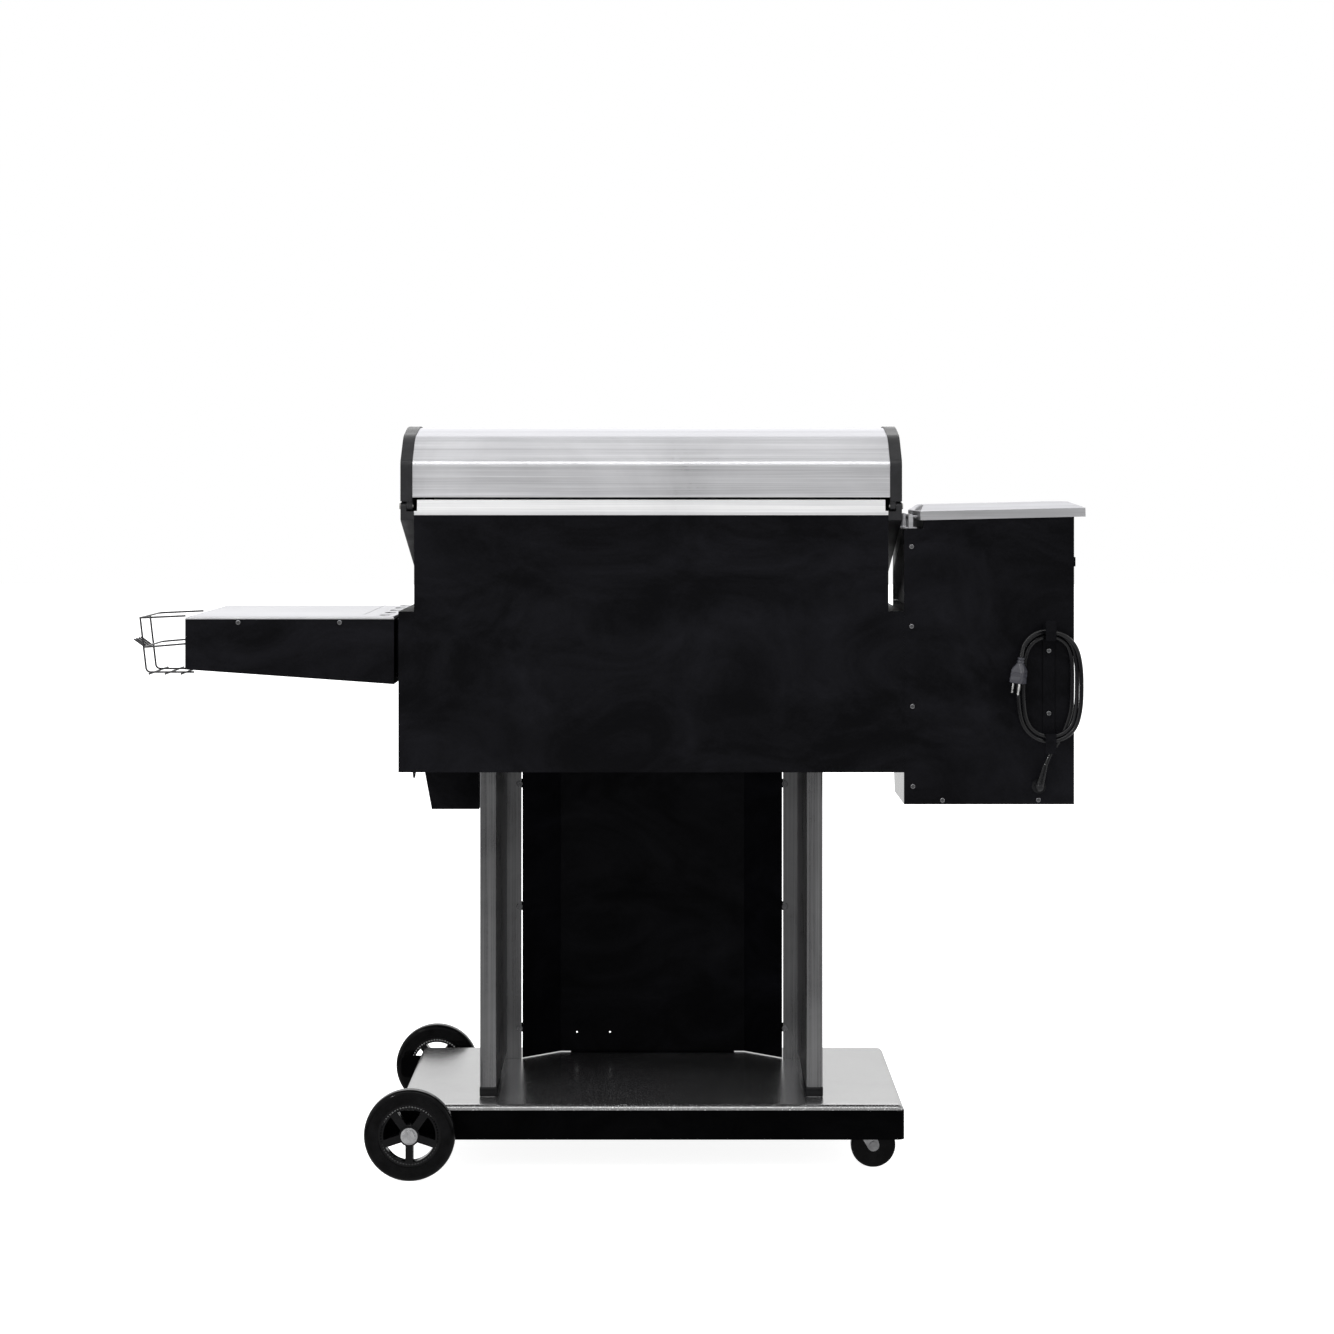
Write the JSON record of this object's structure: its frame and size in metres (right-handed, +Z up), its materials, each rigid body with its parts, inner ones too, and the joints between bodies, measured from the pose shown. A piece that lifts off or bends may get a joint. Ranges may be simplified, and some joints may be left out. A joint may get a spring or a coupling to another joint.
{
  "type": "pellet smoker grill",
  "caption": "Freestanding pellet smoker grill: domed steel lid, side pellet hopper, folding-sheet pedestal cart with wheels and casters, side table, wire basket.",
  "frame": {"origin": "on the floor under the middle of the object's bounding box, cord and plug left out", "axes": "+Z up, the front with the lid handle faces -Y, the side table is at +X and the hopper at -X"},
  "size_m": [1.615, 0.6738, 1.2612],
  "materials": {
    "powder_black": "satin black powder coat",
    "gloss_black": "smooth gloss black enamel",
    "cast_black": "black coated casting",
    "stainless": "long grain brushed stainless steel",
    "leg_steel": "brushed stainless leg panels",
    "bare_steel": "plain mill finish steel",
    "zinc": "bright zinc plated steel",
    "black_zinc": "black zinc plated screws",
    "tyre_rubber": "black moulded tyre",
    "wheel_plastic": "glossy black moulded hub",
    "black_plastic": "fine grained black plastic",
    "cord_rubber": "soft black cord jacket",
    "black_wire": "black coated steel wire",
    "grate_iron": "seasoned porcelain coated bars"
  },
  "bodies": {
    "cart": {"base_shelf": "gloss_black", "axle_brackets": "gloss_black", "axle_rod": "gloss_black", "caster_plates": "zinc", "leg_left": "leg_steel", "leg_right": "leg_steel", "front_cover": "powder_black", "cover_bolts": "black_zinc", "rear_panel": "powder_black", "front_panel": "powder_black", "side_panel_left": "powder_black", "side_panel_right": "powder_black", "floor_panel": "powder_black", "barrel_caps": "cast_black", "exhaust_strip": "stainless", "hinge_pins": "bare_steel", "fire_pot": "bare_steel", "auger_tube": "bare_steel", "auger_motor": "bare_steel", "blower_housing": "bare_steel", "heat_baffle": "bare_steel", "drip_tray": "bare_steel", "cooking_grate": "grate_iron", "drawer_rails": "powder_black", "bucket_hook": "black_wire", "hopper_shell": "powder_black", "hopper_rear_panel": "powder_black", "hopper_funnel": "bare_steel", "hopper_hinge": "stainless", "tool_bracket": "powder_black", "controller_panel": "black_plastic", "table_top": "stainless", "table_frame": "powder_black", "table_brackets": "powder_black", "panel_screws": "black_zinc", "wire_basket": "black_wire", "cord_bracket": "powder_black", "cord_gland": "black_plastic", "cord_coil": "cord_rubber", "power_cord": "cord_rubber", "plug": "black_plastic"},
    "lid": {"lid_skin": "stainless", "lid_cap_left": "cast_black", "lid_cap_right": "cast_black", "lid_handle": "stainless", "thermometer": "stainless"},
    "bin_lid": {"hopper_lid": "stainless"},
    "rear_wheel": {"wheel_rear_hub": "wheel_plastic", "wheel_rear_tyre": "tyre_rubber"},
    "front_wheel": {"wheel_front_hub": "wheel_plastic", "wheel_front_tyre": "tyre_rubber"},
    "rear_fork": {"caster_rear_fork": "zinc"},
    "front_fork": {"caster_front_fork": "zinc"},
    "rear_roller": {"caster_rear_wheel": "tyre_rubber"},
    "front_roller": {"caster_front_wheel": "tyre_rubber"},
    "auger": {"auger_screw": "bare_steel"},
    "fan": {"fan_impeller": "bare_steel"},
    "knob": {"controller_knob": "black_plastic"},
    "button": {"power_button": "black_plastic"},
    "drawer": {"grease_drawer": "powder_black"}
  },
  "joints": [
    {"name": "lid_hinge", "type": "hinge", "parent": "cart", "child": "lid", "pos_m": [-0.0735, 0.234, 1.123], "axis": [-1, 0, 0], "range_deg": [0, 80]},
    {"name": "bin_lid_hinge", "type": "hinge", "parent": "cart", "child": "bin_lid", "pos_m": [-0.5155, 0.108, 1.105], "axis": [0, 1, 0], "range_deg": [0, 75]},
    {"name": "rear_wheel_spin", "type": "hinge", "parent": "cart", "child": "rear_wheel", "pos_m": [0.3285, 0.3145, 0.0762], "axis": [0, 1, 0], "continuous": true},
    {"name": "front_wheel_spin", "type": "hinge", "parent": "cart", "child": "front_wheel", "pos_m": [0.3285, -0.3145, 0.0762], "axis": [0, 1, 0], "continuous": true},
    {"name": "rear_caster_swivel", "type": "hinge", "parent": "cart", "child": "rear_fork", "pos_m": [-0.4305, 0.205, 0.083], "axis": [0, 0, 1], "continuous": true},
    {"name": "front_caster_swivel", "type": "hinge", "parent": "cart", "child": "front_fork", "pos_m": [-0.4305, -0.205, 0.083], "axis": [0, 0, 1], "continuous": true},
    {"name": "rear_roller_spin", "type": "hinge", "parent": "rear_fork", "child": "rear_roller", "pos_m": [-0.4505, 0.205, 0.038], "axis": [0, 1, 0], "continuous": true},
    {"name": "front_roller_spin", "type": "hinge", "parent": "front_fork", "child": "front_roller", "pos_m": [-0.4505, -0.205, 0.038], "axis": [0, 1, 0], "continuous": true},
    {"name": "auger_turn", "type": "hinge", "parent": "cart", "child": "auger", "pos_m": [-0.4035, 0.04, 0.73], "axis": [1, 0, 0], "continuous": true},
    {"name": "fan_turn", "type": "hinge", "parent": "cart", "child": "fan", "pos_m": [-0.5735, 0.116, 0.668], "axis": [0, 1, 0], "continuous": true},
    {"name": "knob_turn", "type": "hinge", "parent": "cart", "child": "knob", "pos_m": [-0.7135, -0.06, 0.95], "axis": [0, -1, 0], "continuous": true},
    {"name": "button_press", "type": "slide", "parent": "cart", "child": "button", "axis": [0, 1, 0], "range_m": [0, 0.002], "stiffness_N_per_m": 400},
    {"name": "drawer_slide", "type": "slide", "parent": "cart", "child": "drawer", "axis": [0, -1, 0], "range_m": [0, 0.24]}
  ]
}
